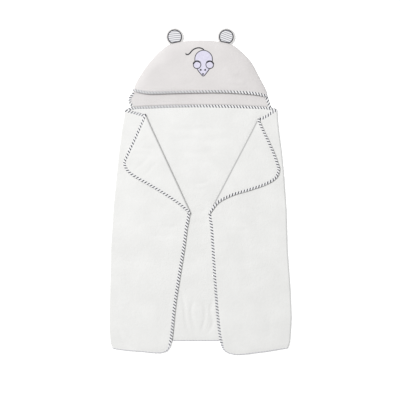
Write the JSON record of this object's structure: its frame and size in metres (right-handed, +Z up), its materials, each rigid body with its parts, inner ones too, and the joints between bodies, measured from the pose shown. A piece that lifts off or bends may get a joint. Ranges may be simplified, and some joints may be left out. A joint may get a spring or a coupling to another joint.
{
  "type": "hooded baby towel",
  "caption": "Hooded terry towel laid flat with sides folded in, upper corners turned back as lapels, striped binding and a two-piece hood with round ears.",
  "frame": {"origin": "on the underside, under the middle of the neck seam where the hood is sewn to the body", "axes": "+Z up out of the surface that the towel lies on, +Y from the hem to the hood, +X to the right of someone who looks down on it with the hood away from them"},
  "size_m": [0.5482, 0.9617, 0.0137],
  "materials": {
    "terry": "white cotton terry with a short uncut loop pile, matt",
    "hood_terry": "white cotton terry, slightly warm, matt",
    "striped_binding": "cotton bias binding with narrow slanted charcoal and white stripes",
    "striped_patch": "plain-weave cotton with fine grey and white stripes",
    "satin_stitch": "dense dark satin stitch with a soft sheen",
    "mouse_cotton": "lavender-grey plain-weave cotton"
  },
  "bodies": {
    "back": {"back_panel": "terry", "neck_binding": "striped_binding", "back_hem_binding": "striped_binding", "left_side_fold": "terry", "left_side_fold_binding": "striped_binding", "right_side_fold": "terry", "right_side_fold_binding": "striped_binding"},
    "left_flap": {"left_flap_panel": "terry", "left_flap_binding": "striped_binding", "left_lapel_crease": "terry", "left_lapel_crease_binding": "striped_binding"},
    "right_flap": {"right_flap_panel": "terry", "right_flap_binding": "striped_binding", "right_lapel_crease": "terry", "right_lapel_crease_binding": "striped_binding"},
    "left_lapel": {"left_lapel_panel": "terry", "left_lapel_binding": "striped_binding"},
    "right_lapel": {"right_lapel_panel": "terry", "right_lapel_binding": "striped_binding"},
    "hood": {"hood_back_panel": "hood_terry", "hood_left_edge_binding": "striped_binding", "hood_right_edge_binding": "striped_binding", "hood_front_panel": "hood_terry", "hood_opening_binding": "striped_binding", "left_ear_root": "hood_terry", "right_ear_root": "hood_terry", "mouse_body": "mouse_cotton", "mouse_ears": "mouse_cotton", "mouse_outline": "satin_stitch", "mouse_face": "satin_stitch", "mouse_tail": "satin_stitch"},
    "left_ear": {"left_ear_back": "hood_terry", "left_ear_front": "hood_terry", "left_ear_patch": "striped_patch", "left_ear_outline": "satin_stitch"},
    "right_ear": {"right_ear_back": "hood_terry", "right_ear_front": "hood_terry", "right_ear_patch": "striped_patch", "right_ear_outline": "satin_stitch"}
  },
  "joints": [
    {"name": "left_flap_fold", "type": "hinge", "parent": "back", "child": "left_flap", "pos_m": [-0.227, 0, 0.0035], "axis": [-0.0639, -0.998, 0], "range_deg": [0, 180], "deforming": ["left_side_fold", "left_side_fold_binding"]},
    {"name": "right_flap_fold", "type": "hinge", "parent": "back", "child": "right_flap", "pos_m": [0.226, 0, 0.0035], "axis": [-0.0608, 0.9981, 0], "range_deg": [0, 180], "deforming": ["right_side_fold", "right_side_fold_binding"]},
    {"name": "left_lapel_fold", "type": "hinge", "parent": "left_flap", "child": "left_lapel", "pos_m": [-0.1619, -0.0285, 0.0075], "axis": [-0.4191, 0.9079, 0], "range_deg": [0, 180], "deforming": ["left_lapel_crease", "left_lapel_crease_binding"]},
    {"name": "right_lapel_fold", "type": "hinge", "parent": "right_flap", "child": "right_lapel", "pos_m": [0.1766, -0.0257, 0.0075], "axis": [-0.4629, -0.8864, 0], "range_deg": [0, 180], "deforming": ["right_lapel_crease", "right_lapel_crease_binding"]},
    {"name": "hood_fold", "type": "hinge", "parent": "back", "child": "hood", "pos_m": [0, 0.00515, 0.0035], "axis": [1, 0, 0], "range_deg": [0, 135]},
    {"name": "left_ear_flop", "type": "hinge", "parent": "hood", "child": "left_ear", "pos_m": [-0.07231, 0.19987, 0.0035], "axis": [0.9272, 0.3746, 0], "range_deg": [0, 90], "deforming": ["left_ear_root"]},
    {"name": "right_ear_flop", "type": "hinge", "parent": "hood", "child": "right_ear", "pos_m": [0.07231, 0.19987, 0.0035], "axis": [0.9272, -0.3746, 0], "range_deg": [0, 90], "deforming": ["right_ear_root"]}
  ]
}
